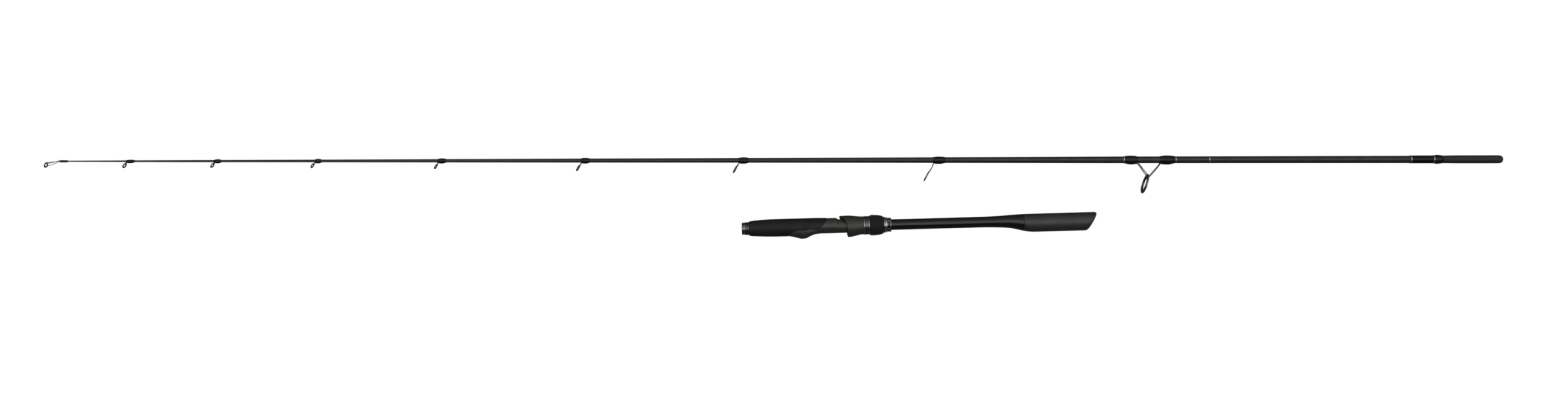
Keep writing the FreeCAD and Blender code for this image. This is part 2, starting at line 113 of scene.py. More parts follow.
blank_low, blank_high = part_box("blank")
blank_middle = (blank_low + blank_high) / 2
shoulder = Vector((blank_high.x, blank_middle.y, blank_middle.z))
tip = Section(shoulder, (1, 0, 0), MOUNTS["line_guide_1"]["pos_m"])
mouth = Vector(MOUNTS["ferrule_socket"]["pos_m"])
towards_butt = -Vector(MOUNTS["ferrule_socket"]["axis"])
handle = Section(mouth, towards_butt, MOUNTS["reel_foot_seat"]["pos_m"])


# ---- materials

class Finish:
    """A Principled material, with helpers that add detail in a section's own millimetres."""

    def __init__(self, name, colour, roughness, metallic=0.0, coat=0.0, coat_roughness=0.08):
        self.material = bpy.data.materials.new(name)
        self.material.use_nodes = True
        self.nodes = self.material.node_tree.nodes
        self.links = self.material.node_tree.links
        self.shader = self.nodes["Principled BSDF"]
        self.set("Base Color", (*colour, 1.0))
        self.set("Roughness", roughness)
        self.set("Metallic", metallic)
        self.set("Coat Weight", coat)
        self.set("Coat Roughness", coat_roughness)
        self.height = None

    def set(self, socket, value):
        self.shader.inputs[socket].default_value = value

    def node(self, kind, **settings):
        made = self.nodes.new(kind)
        for key, value in settings.items():
            if hasattr(made, key):
                setattr(made, key, value)
            else:
                made.inputs[key.replace("_", " ")].default_value = value
        return made

    def math(self, operation, first, second=None):
        made = self.nodes.new("ShaderNodeMath")
        made.operation = operation
        for socket, value in zip(made.inputs, (first, second)):
            if isinstance(value, (int, float)):
                socket.default_value = value
            elif value is not None:
                self.links.new(value, socket)
        return made.outputs[0]

    def millimetres(self, section, scale=(1.0, 1.0, 1.0)):
        """Coordinates along a section's axes, in millimetres times scale."""
        place = self.node("ShaderNodeTexCoord").outputs["Object"]
        mapping = self.nodes.new("ShaderNodeMapping")
        mapping.vector_type = "TEXTURE"
        mapping.inputs["Location"].default_value = section.matrix.translation
        mapping.inputs["Rotation"].default_value = section.matrix.to_euler()
        mapping.inputs["Scale"].default_value = [MM / s for s in scale]
        self.links.new(place, mapping.inputs["Vector"])
        return mapping.outputs["Vector"]

    def noise(self, section, size, detail=4.0, stretch=(1.0, 1.0, 1.0), roughness=0.55):
        """Noise whose features are about size millimetres across."""
        made = self.node("ShaderNodeTexNoise", Scale=1.0 / size, Detail=detail, Roughness=roughness)
        self.links.new(self.millimetres(section, stretch), made.inputs["Vector"])
        return made.outputs["Fac"]

    def helix(self, section, pitch, starts=1.0):
        """Sine bands, -1 to 1, that wind round the axis with a pitch in millimetres."""
        split = self.nodes.new("ShaderNodeSeparateXYZ")
        self.links.new(self.millimetres(section), split.inputs[0])
        x, y, z = split.outputs
        turns = self.math("MULTIPLY", self.math("ARCTAN2", z, y), starts)
        phase = self.math("ADD", self.math("MULTIPLY", x, 2 * math.pi / pitch), turns)
        return self.math("SINE", phase)

    def ramp(self, value, low, high, first, second):
        """Value mapped from low..high to first..second, with smooth ends."""
        made = self.nodes.new("ShaderNodeMapRange")
        made.interpolation_type = "SMOOTHSTEP"
        for socket, number in zip(made.inputs[1:5], (low, high, first, second)):
            socket.default_value = number
        self.links.new(value, made.inputs["Value"])
        return made.outputs["Result"]

    def tint(self, factor, other):
        """Blend the colour so far towards another by a factor socket."""
        mix = self.nodes.new("ShaderNodeMix")
        mix.data_type = "RGBA"
        ends = [s for s in mix.inputs if s.type == "RGBA"]
        base = self.shader.inputs["Base Color"]
        if base.is_linked:
            self.links.new(base.links[0].from_socket, ends[0])
        else:
            ends[0].default_value = base.default_value
        ends[1].default_value = (*other, 1.0)
        self.links.new(factor, mix.inputs["Factor"])
        self.links.new([s for s in mix.outputs if s.type == "RGBA"][0], base)

    def rough(self, value, low, high, first, second):
        self.links.new(self.ramp(value, low, high, first, second), self.shader.inputs["Roughness"])

    def bump(self, value, depth):
        """Add relief of about depth millimetres."""
        made = self.nodes.new("ShaderNodeBump")
        made.inputs["Distance"].default_value = depth * MM
        made.inputs["Strength"].default_value = 1.0
        self.links.new(value, made.inputs["Height"])
        if self.height is not None:
            self.links.new(self.height, made.inputs["Normal"])
        self.height = made.outputs["Normal"]
        self.links.new(self.height, self.shader.inputs["Normal"])


def carbon_blank():
    """Satin black carbon: a cloth tape wound on the slant, under a thin clear coat."""
    made = Finish("carbon_blank", (0.0155, 0.0155, 0.017), 0.42, coat=0.25, coat_roughness=0.3)
    bands = made.helix(tip, 26.0, 1.0)
    made.tint(made.ramp(bands, -0.6, 0.9, 0.0, 0.55), (0.028, 0.028, 0.03))
    patches = made.noise(tip, 7.0, 3.0, (0.35, 1.0, 1.0))
    made.tint(made.ramp(patches, 0.45, 0.72, 0.0, 0.4), (0.012, 0.012, 0.016))
    made.rough(patches, 0.35, 0.7, 0.36, 0.52)
    made.bump(made.helix(tip, 2.6, 1.0), 0.012)
    made.bump(made.noise(tip, 0.5, 2.0, (0.25, 1.0, 1.0)), 0.015)
    return made.material


def gloss_black():
    made = Finish("gloss_black", (0.004, 0.004, 0.0055), 0.3, coat=0.3, coat_roughness=0.05)
    made.set("Specular IOR Level", 0.12)
    flow = made.noise(tip, 5.0, 2.0)
    made.tint(made.ramp(flow, 0.5, 0.8, 0.0, 0.5), (0.009, 0.009, 0.013))
    made.bump(flow, 0.03)
    return made.material


def epoxy_wrap():
    """Black thread wound tight and covered by glossy epoxy."""
    made = Finish("gloss_wrap", (0.0045, 0.0045, 0.005), 0.4, coat=0.42, coat_roughness=0.04)
    made.set("Specular IOR Level", 0.15)
    thread = made.helix(tip, 0.28, 1.0)
    made.tint(made.ramp(thread, -0.2, 0.9, 0.0, 0.6), (0.011, 0.011, 0.012))
    made.bump(thread, 0.01)
    made.bump(made.noise(tip, 4.0, 2.0), 0.05)
    return made.material


def matte_ferrule():
    """Sanded carbon with fine scratches round it."""
    made = Finish("matte_ferrule", (0.022, 0.022, 0.023), 0.6)
    scratches = made.noise(tip, 0.6, 3.0, (5.0, 0.6, 0.6))
    made.tint(made.ramp(scratches, 0.4, 0.75, 0.0, 0.6), (0.038, 0.038, 0.04))
    weave = made.helix(tip, 11.0, 1.0)
    made.tint(made.ramp(weave, -0.5, 1.0, 0.0, 0.25), (0.018, 0.018, 0.02))
    made.rough(scratches, 0.3, 0.7, 0.5, 0.7)
    made.bump(scratches, 0.02)
    return made.material


def metal(name, section, colour, roughness, grain=0.012):
    """Turned metal: fine lines round the axis, a little uneven polish."""
    made = Finish(name, colour, roughness, metallic=1.0)
    lines = made.noise(section, 0.8, 2.0, (6.0, 0.3, 0.3))
    smears = made.noise(section, 3.0, 3.0)
    made.rough(smears, 0.3, 0.75, roughness * 0.75, roughness * 1.35)
    darker = tuple(c * 0.72 for c in colour)
    made.tint(made.ramp(lines, 0.45, 0.8, 0.0, 0.5), darker)
    made.bump(lines, grain)
    return made.material


def ceramic():
    made = Finish("ceramic_ring", (0.008, 0.008, 0.009), 0.12, coat=1.0, coat_roughness=0.03)
    cloud = made.noise(tip, 2.0, 2.0)
    made.tint(made.ramp(cloud, 0.5, 0.8, 0.0, 0.5), (0.02, 0.02, 0.021))
    made.rough(cloud, 0.3, 0.8, 0.08, 0.18)
    return made.material


def moulded(name, colours, specular, sizes, roughness, relief):
    """Near-black moulded skin: a fine grain in relief, and larger worn patches."""
    made = Finish(name, colours[0], 0.5)
    made.set("Specular IOR Level", specular)
    grain = made.noise(handle, sizes[0], 2.0)
    worn = made.noise(handle, sizes[1], 3.0)
    made.tint(made.ramp(worn, 0.45, 0.75, 0.0, 0.5), colours[1])
    made.rough(worn, 0.3, 0.7, *roughness)
    made.bump(grain, relief)
    return made


def textured_grip():
    """The front grip's slanting grooves are in its mesh; only the grain is here."""
    colours = ((0.0085, 0.0085, 0.009), (0.014, 0.0137, 0.014))
    return moulded("textured_grip", colours, 0.4, (0.35, 14.0), (0.55, 0.7), 0.03).material


def soft_touch():
    colours = ((0.007, 0.0067, 0.0078), (0.011, 0.0105, 0.012))
    made = moulded("soft_touch", colours, 0.35, (0.3, 6.0), (0.64, 0.8), 0.025)
    made.set("Sheen Weight", 0.08)
    made.set("Sheen Roughness", 0.5)
    return made.material


def seat_plastic():
    """Semi-matte warm charcoal with a fine metallic fleck."""
    made = Finish("seat_plastic", (0.031, 0.029, 0.0255), 0.44, coat=0.15, coat_roughness=0.3)
    made.set("Specular IOR Level", 0.62)
    fleck = made.noise(handle, 0.5, 2.0)
    made.tint(made.ramp(fleck, 0.55, 0.75, 0.0, 0.5), (0.062, 0.059, 0.052))
    cloud = made.noise(handle, 9.0, 3.0)
    made.tint(made.ramp(cloud, 0.4, 0.75, 0.0, 0.4), (0.022, 0.021, 0.019))
    made.rough(cloud, 0.3, 0.75, 0.4, 0.54)
    made.bump(fleck, 0.012)
    return made.material


def carbon_tube():
    """High-gloss lacquered carbon: a faint woven check deep under the coat."""
    made = Finish("carbon_tube", (0.004, 0.004, 0.0047), 0.3, coat=0.75, coat_roughness=0.04)
    made.set("Specular IOR Level", 0.2)
    one = made.helix(handle, 3.2, 3.0)
    two = made.helix(handle, -3.2, 3.0)
    check = made.math("MULTIPLY", one, two)
    made.tint(made.ramp(check, -0.2, 0.6, 0.0, 0.4), (0.007, 0.007, 0.008))
    return made.material


def matte_grip():
    """Rear grip: dense matte charcoal with a fine even tooth."""
    made = Finish("matte_grip", (0.026, 0.026, 0.0247), 0.5)
    made.set("Specular IOR Level", 0.75)
    grain = made.noise(handle, 0.4, 3.0)
    cloud = made.noise(handle, 12.0, 3.0, (0.5, 1.0, 1.0))
    made.tint(made.ramp(cloud, 0.4, 0.75, 0.0, 0.5), (0.016, 0.016, 0.018))
    made.tint(made.ramp(grain, 0.6, 0.8, 0.0, 0.35), (0.043, 0.043, 0.04))
    made.rough(cloud, 0.3, 0.75, 0.44, 0.56)
    made.bump(grain, 0.02)
    return made.material


def satin_plastic():
    made = Finish("black_plastic", (0.012, 0.012, 0.012), 0.45)
    grain = made.noise(handle, 0.6, 3.0)
    made.tint(made.ramp(grain, 0.5, 0.8, 0.0, 0.5), (0.022, 0.022, 0.022))
    made.rough(grain, 0.3, 0.7, 0.4, 0.55)
    made.bump(grain, 0.01)
    return made.material


def foam():
    made = Finish("foam", (0.03, 0.03, 0.03), 0.9)
    cells = made.node("ShaderNodeTexVoronoi", Scale=2.2)
    made.links.new(made.millimetres(tip), cells.inputs["Vector"])
    made.tint(made.ramp(cells.outputs["Distance"], 0.0, 0.5, 0.7, 0.0), (0.008, 0.008, 0.008))
    made.bump(cells.outputs["Distance"], 0.2)
    return made.material


FINISH = {
    "carbon_blank": carbon_blank(),
    "matte_ferrule": matte_ferrule(),
    "gloss_wrap": epoxy_wrap(),
    "gloss_black": gloss_black(),
    "silver_trim": metal("silver_trim", tip, (0.72, 0.72, 0.73), 0.22),
    "guide_metal": metal("guide_metal", tip, (0.30, 0.28, 0.26), 0.2),
    "tip_metal": metal("tip_metal", tip, (0.66, 0.65, 0.63), 0.26),
    "ceramic_ring": ceramic(),
    "carbon_tube": carbon_tube(),
    "polished_metal": metal("polished_metal", handle, (0.46, 0.452, 0.445), 0.14),
    "gunmetal": metal("gunmetal", handle, (0.26, 0.256, 0.25), 0.17),
    "dark_metal": metal("dark_metal", handle, (0.13, 0.13, 0.135), 0.24),
    "textured_grip": textured_grip(),
    "seat_plastic": seat_plastic(),
    "matte_grip": matte_grip(),
    "soft_touch": soft_touch(),
    "black_plastic": satin_plastic(),
    "foam": foam(),
}


# ---- mesh helpers

# Angles round a section at which a ring has its points; 0 is the guide side
TURN = np.linspace(0.0, 2 * math.pi, 96, endpoint=False)


def ring(x, radius, offset=0.0):
    """One ring of points; x, radius and offset may change round it."""
    x = np.broadcast_to(x, TURN.shape)
    radius = np.broadcast_to(radius, TURN.shape)
    return np.stack([x, offset - radius * np.cos(TURN), radius * np.sin(TURN)], axis=-1)


def rounded(corners, size, closed=False, steps=4):
    """Corners of an outline, each cut by a small round of the given size."""
    points = [np.array(c, float) for c in corners]
    count = len(points)
    made = []
    for i, here in enumerate(points):
        if not closed and i in (0, count - 1):
            made.append(here)
            continue
        before = points[i - 1] - here
        after = points[(i + 1) % count] - here
        a = here + before * min(size / np.linalg.norm(before), 0.45)
        b = here + after * min(size / np.linalg.norm(after), 0.45)
        for step in range(steps + 1):
            t = step / steps
            made.append((1 - t) ** 2 * a + 2 * t * (1 - t) * here + t * t * b)
    return made


def smooth(points, samples=12):
    """A smooth curve through points of any width."""
    p = np.array(points, float)
    p = np.vstack([2 * p[0] - p[1], p, 2 * p[-1] - p[-2]])
    made = []
    for i in range(1, len(p) - 2):
        for t in np.arange(samples) / samples:
            a = 2 * p[i]
            b = p[i + 1] - p[i - 1]
            c = 2 * p[i - 1] - 5 * p[i] + 4 * p[i + 1] - p[i + 2]
            d = -p[i - 1] + 3 * p[i] - 3 * p[i + 1] + p[i + 2]
            made.append(0.5 * (a + b * t + c * t * t + d * t**3))
    made.append(p[-2])
    return np.array(made)


def smoothstep(value, low, high):
    t = np.clip((value - low) / (high - low), 0.0, 1.0)
    return t * t * (3 - 2 * t)


def mesh_of(name, points, faces):
    """Mesh object in the row frame from points in metres, with its normals outward."""
    mesh = bpy.data.meshes.new(name)
    mesh.from_pydata([tuple(p) for p in points], [], [tuple(f) for f in faces])
    work = bmesh.new()
    work.from_mesh(mesh)
    bmesh.ops.remove_doubles(work, verts=work.verts, dist=1e-7)
    bmesh.ops.recalc_face_normals(work, faces=work.faces)
    work.to_mesh(mesh)
    work.free()
    mesh.polygons.foreach_set("use_smooth", [True] * len(mesh.polygons))
    made = bpy.data.objects.new(name, mesh)
    bpy.context.scene.collection.objects.link(made)
    return made


def skin_faces(count, around, loop):
    """Quads between rings; a loop joins the last ring to the first."""
    faces = []
    for i in range(count if loop else count - 1):
        j = (i + 1) % count
        for k in range(around):
            m = (k + 1) % around
            faces.append((i * around + k, i * around + m, j * around + m, j * around + k))
    return faces


def skin(name, section, rings, loop=False):
    """Surface through rings in a section's millimetres: a loop, or closed at both ends."""
    grid = np.array(rings)
    count, around = grid.shape[:2]
    points = grid.reshape(-1, 3)
    faces = skin_faces(count, around, loop)
    if not loop:
        for index, end in ((0, grid[0]), (count - 1, grid[-1])):
            centre = len(points)
            points = np.vstack([points, end.mean(0)])
            for k in range(around):
                faces.append((index * around + k, index * around + (k + 1) % around, centre))
    return mesh_of(name, section.place(points), faces)


def turned(name, section, outline, loop=False):
    """Surface of revolution about the section's axis from (station, radius) points."""
    return skin(name, section, [ring(x, max(r, 1e-4)) for x, r in outline], loop)


def sharpen(piece, degrees=40.0):
    piece.data.set_sharp_from_angle(angle=math.radians(degrees))
    return piece


def finish(piece, body, slot, nodes, look=None):
    """Gives a piece its material and its body, and hides the CAD nodes that it stands for."""
    piece.data.materials.clear()
    piece.data.materials.append(FINISH[look or slot])
    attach(piece, body)
    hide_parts(*nodes)
    return piece


def cut(piece, cutter):
    """Take the cutter's solid out of the piece."""
    step = piece.modifiers.new("cut", "BOOLEAN")
    step.operation = "DIFFERENCE"
    step.solver = "EXACT"
    step.object = cutter
    apply(piece, step)
    bpy.data.objects.remove(cutter)
    return sharpen(piece, 35.0)


def apply(piece, step):
    with bpy.context.temp_override(object=piece, active_object=piece):
        bpy.ops.object.modifier_apply(modifier=step.name)


def weld(name, parts, voxel, rounds):
    """Join overlapping parts into one skin with softened joins, as brazed metal has."""
    base = parts[0]
    base.name = name
    base.data.name = name
    work = bmesh.new()
    for part in parts:
        work.from_mesh(part.data)
    work.to_mesh(base.data)
    work.free()
    for part in parts[1:]:
        bpy.data.objects.remove(part)
    step = base.modifiers.new("weld", "REMESH")
    step.mode = "VOXEL"
    step.voxel_size = voxel * MM
    apply(base, step)
    step = base.modifiers.new("soften", "SMOOTH")
    step.factor = 0.5
    step.iterations = rounds
    apply(base, step)
    base.data.polygons.foreach_set("use_smooth", [True] * len(base.data.polygons))
    return base


def ribbon(section, path, width, thickness, across, around=16):
    """Flat bar with rounded edges along a smooth path; across is its wide direction."""
    path = np.array(path)
    steps = np.gradient(path, axis=0)
    steps /= np.linalg.norm(steps, axis=1)[:, None]
    angles = np.linspace(0, 2 * math.pi, around, endpoint=False)
    wide = np.sign(np.cos(angles)) * np.abs(np.cos(angles)) ** 0.7
    thick = np.sign(np.sin(angles)) * np.abs(np.sin(angles)) ** 0.7
    widths = np.broadcast_to(width, len(path))
    heights = np.broadcast_to(thickness, len(path))
    rings = []
    for here, step, w, t in zip(path, steps, widths, heights):
        side = np.array(across, float) - step * np.dot(across, step)
        side /= np.linalg.norm(side)
        up = np.cross(step, side)
        rings.append(here + 0.5 * (w * wide[:, None] * side + t * thick[:, None] * up))
    return skin("bar", section, rings)


def bezier(points, samples=14):
    a, b, c, d = (np.array(p, float) for p in points)
    t = np.linspace(0, 1, samples)[:, None]
    return (1 - t) ** 3 * a + 3 * (1 - t) ** 2 * t * b + 3 * (1 - t) * t * t * c + t**3 * d


def leg(bends, widths, thickness, across, samples=14):
    """Bar of a guide along a curve; its width goes evenly from one size to another."""
    path = bezier(bends, samples)
    return ribbon(tip, path, np.linspace(*widths, samples), thickness, across)


def two_rings(section, node):
    """First station, last station and radius of each ring in a node made of two."""
    points = section.cloud(node)
    middle = (points[:, 0].min() + points[:, 0].max()) / 2
    sizes = []
    for near in (points[points[:, 0] < middle], points[points[:, 0] > middle]):
        radius = np.hypot(near[:, 1], near[:, 2]).max()
        sizes.append((near[:, 0].min(), near[:, 0].max(), radius))
    return sizes


# ---- blank and ferrule

# Outer radius of the blank: stations from the shoulder towards the tip
BLANK = np.array(
    (
        (-1888.0, 0.84), (-1822.0, 1.1), (-1722.0, 1.56), (-1556.0, 1.87), (-1223.0, 2.68),
        (-891.0, 3.35), (-724.0, 3.78), (-558.0, 4.25), (-458.0, 4.6), (-225.0, 4.83),
        (0.0, 5.08),
    )
)


def blank_radius(station):
    return float(np.interp(station, BLANK[:, 0], BLANK[:, 1]))


def make_blank():
    rings = []
    for x in np.linspace(BLANK[0, 0], BLANK[-1, 0], 240):
        rings.append(ring(x, blank_radius(x)))
    finish(skin("rod_blank", tip, rings), "tip_section", "carbon_blank", ["blank"])


def make_ferrule():
    end = tip.span("ferrule_plug")[1]
    wide = tip.span("ferrule_plug")[2]
    bore = tip.span("plug_end_cap")[2]
    outline = [(-2.0, 4.6), (-2.0, 5.15), (0.0, 5.2), (20.0, wide), (end - 4.0, wide)]
    outline += [(end - 1.1, wide - 0.45), (end, wide - 1.8), (end, bore), (end - 6.0, bore)]
    outline += [(end - 6.0, bore - 0.6)]
    piece = turned("plug_skin", tip, rounded(outline, 1.3))
    finish(sharpen(piece, 60.0), "tip_section", "matte_ferrule", ["ferrule_plug"])
    first, last, radius = tip.span("plug_end_cap")
    outline = [(first, 0.0), (first, radius), (last, radius), (last + 0.25, 0.0)]
    piece = turned("plug_cap", tip, rounded(outline, 0.4))
    finish(piece, "tip_section", "black_plastic", ["plug_end_cap"])


def make_ferrule_wrap():
    first, last, peak = tip.span("ferrule_wrap")
    curve = [(first, 5.3), (first + 1.2, 5.72), (first + 4.0, peak), (first + 7.0, peak - 0.03)]
    curve += [(last - 2.2, peak - 0.35), (last - 0.5, peak - 0.75), (last, 5.28)]
    rings = []
    for x, r in smooth(curve, 8):
        uneven = 0.05 * np.sin(2 * TURN + 0.5 * x) + 0.03 * np.sin(5 * TURN - x)
        rings.append(ring(x, r + (uneven - 0.1) * (r > 5.5)))
    finish(skin("ferrule_wrap_skin", tip, rings), "tip_section", "gloss_wrap", ["ferrule_wrap"])


def band(name, section, node, body, slot, crown=0.12, look=None):
    """Thin ring with rounded shoulders, over whatever it sits on."""
    first, last, radius = section.span(node)
    floor = radius - 0.9
    top = radius - crown
    outline = [(first, floor), (first, top - 0.1), (first + 0.2, top)]
    outline += [((first + last) / 2, radius), (last - 0.2, top), (last, top - 0.1), (last, floor)]
    piece = turned(name, section, rounded(outline, 0.15, closed=True, steps=3), loop=True)
    return finish(sharpen(piece, 50.0), body, slot, [node], look)


def make_label_band():
    first, last, radius = tip.span("label_band")
    outline = [(first, radius - 0.6), (first, radius), (last, radius), (last, radius - 0.6)]
    piece = turned("label_band_skin", tip, rounded(outline, 0.2, closed=True), loop=True)
    finish(piece, "tip_section", "gloss_black", ["label_band"])
    band("ferrule_trim", tip, "ferrule_trim_ring", "tip_section", "silver_trim")
    band("label_trim", tip, "label_trim_ring", "tip_section", "silver_trim")
    band("mid_trim", tip, "mid_trim_ring", "tip_section", "silver_trim")


# ---- line guides

class Guide:
    """Sizes of one guide, read from its mount and its CAD nodes."""

    def __init__(self, number, prefix, wraps):
        mount = MOUNTS[f"line_guide_{number}"]
        self.prefix = prefix
        self.centre = tip.local(mount["pos_m"])
        self.normal = tip.direction(mount["axis"])
        self.outward = np.array((self.normal[1], -self.normal[0], 0.0))
        self.bore = mount["dims"]["r_mm"]
        reach = (tip.cloud(f"{prefix}_frame") - self.centre) @ self.outward
        self.outer = reach.max()
        self.seat = ((tip.cloud(f"{prefix}_ring") - self.centre) @ self.outward).max()
        self.wraps = [tip.span(w) for w in wraps]
        self.wall = self.outer - self.seat

    def circle(self, radius, depth):
        """Ring of points about the guide's own axis; angle 0 is the side next to the blank."""
        z = np.array((0.0, 0.0, 1.0))
        angles = TURN[:, None]
        flat = -self.outward * np.cos(angles) + z * np.sin(angles)
        return self.centre + self.normal * depth + flat * radius

    def on_hoop(self, degrees):
        angle = math.radians(degrees)
        radius = self.outer - 0.45 * self.wall
        z = np.array((0.0, 0.0, 1.0))
        return self.centre + radius * (-self.outward * math.cos(angle) + z * math.sin(angle))

    def ceramic(self):
        thick = self.seat - self.bore
        half = 0.55 * thick
        section = []
        for a in np.linspace(0, 2 * math.pi, 24, endpoint=False):
            across = math.copysign(abs(math.cos(a)) ** 0.8, math.cos(a))
            depth = math.copysign(abs(math.sin(a)) ** 0.9, math.sin(a))
            section.append(self.circle(self.bore + thick * (0.5 - 0.5 * across), half * depth))
        piece = skin(f"{self.prefix}_ceramic", tip, section, loop=True)
        finish(piece, "tip_section", "ceramic_ring", [f"{self.prefix}_ring"])

    def hoop(self):
        low = self.seat - 0.05
        half = 0.68 * self.wall
        rim = self.outer
        section = [(low, -half), (rim - 0.25 * self.wall, -half), (rim, -0.45 * half)]
        section += [(rim, 0.45 * half), (rim - 0.25 * self.wall, half), (low, half)]
        rings = [self.circle(r, d) for r, d in rounded(section, 0.35 * self.wall, closed=True)]
        return skin("hoop", tip, rings, loop=True)


def foot_bar(start, end, height, width):
    """Guide foot: a flat bar on the blank that thins to nothing towards its toe."""
    stations = np.linspace(start, end, 12)
    fade = np.linspace(0.0, 1.0, 12) ** 2
    path = [(x, -(blank_radius(x) + height * (0.5 - 0.4 * f)), 0.0) for x, f in zip(stations, fade)]
    widths = width * (1.0 - 0.45 * fade)
    return ribbon(tip, path, widths, height * (1.0 - 0.75 * fade), (0, 0, 1))


def guide_wrap(guide, index, node, foot_side, cover):
    """Wrap with a lens-shaped body, and a ridge where it climbs over the foot."""
    first, last = guide.wraps[index][:2]
    rings = []
    count = 40
    for i, x in enumerate(np.linspace(first, last, count)):
        t = i / (count - 1)
        lens = 0.12 + (cover - 0.12) * (1 - abs(2 * t - 1) ** 2.6)
        along = t if foot_side > 0 else 1 - t
        climb = 0.75 * cover * (1 - smoothstep(along, 0.55, 0.98))
        climb *= smoothstep(min(t, 1 - t), -0.02, 0.12)
        angle = np.minimum(TURN, 2 * math.pi - TURN)
        ridge = climb * np.exp(-((angle / 0.5) ** 2))
        uneven = 0.03 * np.sin(3 * TURN + 0.6 * x) * (lens > 0.3)
        rings.append(ring(x, blank_radius(x) + lens + ridge + uneven))
    piece = skin(f"{node}_skin", tip, rings)
    finish(piece, "tip_section", "gloss_wrap", [node])


def make_single_foot(number):
    prefix = f"guide_{number}"
    guide = Guide(number, prefix, [f"{prefix}_wrap"])
    first, last = guide.wraps[0][:2]
    radius = blank_radius(first)
    width = 1.3 + 0.16 * radius
    height = 0.7
    heel = np.array((first - 0.2, -(radius + 0.5 * height), 0.0))
    parts = [guide.hoop(), foot_bar(heel[0], last - 1.5, height, width)]
    for side in (-1, 1):
        target = guide.on_hoop(side * 48.0)
        start = heel + (0.6, 0.0, side * 0.28 * width)
        rise = target - start
        knee = start + (0.04 * rise[0], 0.34 * rise[1], 0.1 * rise[2])
        arrive = start + (0.45 * rise[0], 0.6 * rise[1], 0.6 * rise[2])
        widths = (0.55 * width, 1.5 * guide.wall)
        bends = (start, knee, arrive, target)
        parts.append(leg(bends, widths, 1.15 * guide.wall, (0.3, 0.0, 1.0)))
    voxel = 0.13 if guide.outer < 5 else 0.16
    frame_piece = weld(f"{prefix}_metal", parts, voxel, 3)
    finish(frame_piece, "tip_section", "guide_metal", [f"{prefix}_frame"])
    guide.ceramic()
    guide_wrap(guide, 0, f"{prefix}_wrap", 1, 0.95)


def make_stripper():
    guide = Guide(1, "stripper", ["stripper_front_wrap", "stripper_rear_wrap"])
    front, rear = guide.wraps
    radius = blank_radius(guide.centre[0])
    height = 0.9
    surface = -(radius + 0.5 * height)
    parts = [guide.hoop()]
    parts.append(foot_bar(front[1] + 0.8, front[0] + 2.0, height, 4.2))
    parts.append(foot_bar(rear[0] - 0.8, rear[1] - 2.0, height, 4.2))
    for side in (-1, 1):
        start = np.array((front[1] - 0.5, surface, side * 1.2))
        target = guide.on_hoop(side * 13.0)
        knee = start + (3.2, -0.4, side * 0.2)
        arrive = target - (target - start) * 0.55
        parts.append(leg((start, knee, arrive, target), (2.0, 1.8), 1.3, (0, 0, 1), 20))
    for side in (-1, 1):
        start = np.array((rear[0] + 0.5, surface, side * 1.2))
        target = guide.on_hoop(side * 62.0)
        knee = start + (-3.5, -4.5, side * 4.5)
        arrive = target + (8.5, 8.0, -side * 1.5)
        parts.append(leg((start, knee, arrive, target), (2.2, 1.7), 1.3, (0.35, 0, 1), 24))
    frame_piece = weld("stripper_metal", parts, 0.24, 3)
    finish(frame_piece, "tip_section", "guide_metal", ["stripper_frame"])
    guide.ceramic()
    guide_wrap(guide, 0, "stripper_front_wrap", -1, 1.1)
    guide_wrap(guide, 1, "stripper_rear_wrap", 1, 1.2)
    make_stripper_trims()


def make_stripper_trims():
    names = ("stripper_trim_front", "stripper_trim_rear")
    for name, (first, last, radius) in zip(names, two_rings(tip, "stripper_trim_rings")):
        outline = [(first, radius - 0.8), (first, radius - 0.1), ((first + last) / 2, radius)]
        outline += [(last, radius - 0.1), (last, radius - 0.8)]
        piece = turned(name, tip, rounded(outline, 0.2, closed=True, steps=3), loop=True)
        finish(piece, "tip_section", "silver_trim", ["stripper_trim_rings"])


def make_tip_top():
    guide = Guide(9, "tip_top", ["tip_top_wrap"])
    first, last = guide.wraps[0][:2]
    nose = tip.span("tip_top_wrap")[0] - 1.2
    last -= 3.0
    tube = [(nose - 2.0, 0.0), (nose - 2.0, 0.8), (nose + 0.8, 1.3), (last - 1.0, 1.25)]
    tube.append((last - 1.0, 0.0))
    parts = [guide.hoop(), turned("tube", tip, rounded(tube, 0.4))]
    start = np.array((nose + 0.9, 0.0, 0.0))
    for side in (-1, 1):
        target = guide.on_hoop(side * 16.0)
        bends = (start, start + (-6.0, 0.1, 0.0), target + (6.0, 0.0, 0.0), target)
        parts.append(leg(bends, (1.5, 1.1), 0.8, (0, 0, 1)))
        target = guide.on_hoop(side * 100.0)
        knee = start + (-4.5, -0.6, side * 1.6)
        bends = (start, knee, target + (7.0, 1.3, side * 0.3), target)
        parts.append(leg(bends, (1.0, 1.0), 0.75, (0, 0, 1), 20))
    frame_piece = weld("tip_top_metal", parts, 0.12, 3)
    finish(frame_piece, "tip_section", "guide_metal", ["tip_top_frame"], "tip_metal")
    guide.ceramic()
    curve = [(first, 1.3), (first + 1.2, 1.52), (first + 3.0, 1.62), (first + 9.5, 1.56)]
    curve += [(last - 1.0, 1.3), (last, 1.0)]
    rings = [ring(x, r + 0.02 * np.sin(2 * TURN + x)) for x, r in smooth(curve, 8)]
    piece = skin("tip_top_wrap_skin", tip, rings)
    finish(piece, "tip_section", "gloss_wrap", ["tip_top_wrap"])


# ---- front of the handle

TUBE = handle.span("socket_sleeve")[2]
SLEEVE_BORE = MOUNTS["ferrule_socket"]["dims"]["r_mm"]


